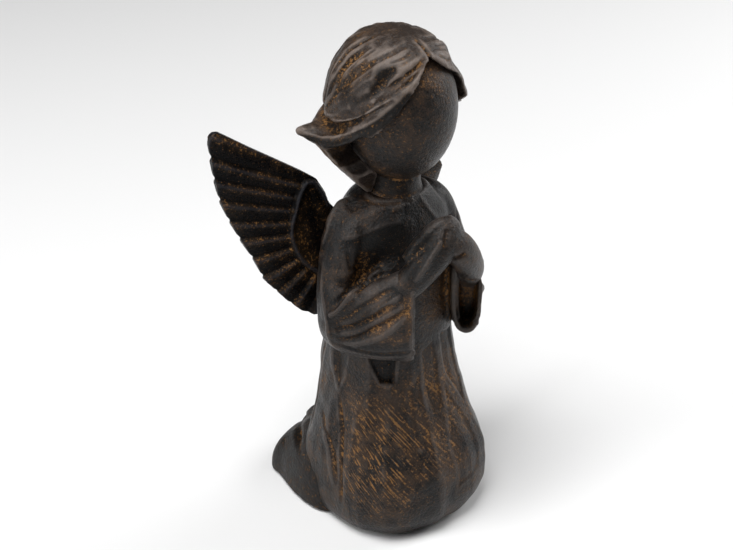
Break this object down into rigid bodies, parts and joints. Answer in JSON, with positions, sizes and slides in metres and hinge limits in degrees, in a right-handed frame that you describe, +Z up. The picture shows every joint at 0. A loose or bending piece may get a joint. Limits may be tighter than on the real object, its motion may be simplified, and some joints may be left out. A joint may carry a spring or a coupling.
{
  "type": "figurine",
  "caption": "Cast resin figurine of a kneeling, faceless angel with clasped hands, spread wings, a bob of hair and a long robe, standing on a flat felted underside.",
  "frame": {"origin": "on the resting plane, under the axis of the trunk and neck", "axes": "+Z up; the figure faces -Y; its right hand and right wing are on the -X side"},
  "size_m": [0.1654, 0.1232, 0.2945],
  "materials": {
    "robe_resin": "dark bronze-brown painted resin with an antique gold wash in the chisel marks, satin lacquer",
    "sleeve_resin": "dark bronze-brown painted resin with a gold wash in the folds, satin lacquer",
    "skin_resin": "smooth near-black brown painted resin with a fine gold fleck, satin lacquer",
    "hair_resin": "brown painted resin, gold wash in the grooves and a polished sheen on the raised locks",
    "wing_resin": "black-brown painted resin with gold-brown bands along the feathers, satin lacquer",
    "dowel_wood": "plain turned birch",
    "pin_steel": "drawn steel wire",
    "plug_resin": "unlacquered dark resin",
    "base_felt": "short black needle felt"
  },
  "bodies": {
    "root": {"robe_body": "robe_resin", "lower_legs": "robe_resin", "right_sleeve": "sleeve_resin", "left_sleeve": "sleeve_resin", "right_hand": "skin_resin", "left_hand": "skin_resin", "head": "skin_resin", "hair": "hair_resin", "right_wing": "wing_resin", "left_wing": "wing_resin", "neck_dowel": "dowel_wood", "right_shoulder_dowel": "dowel_wood", "left_shoulder_dowel": "dowel_wood", "right_wing_wire": "pin_steel", "left_wing_wire": "pin_steel", "right_leg_dowel": "dowel_wood", "left_leg_dowel": "dowel_wood", "base_plug": "plug_resin", "base_felt": "base_felt"}
  },
  "joints": []
}
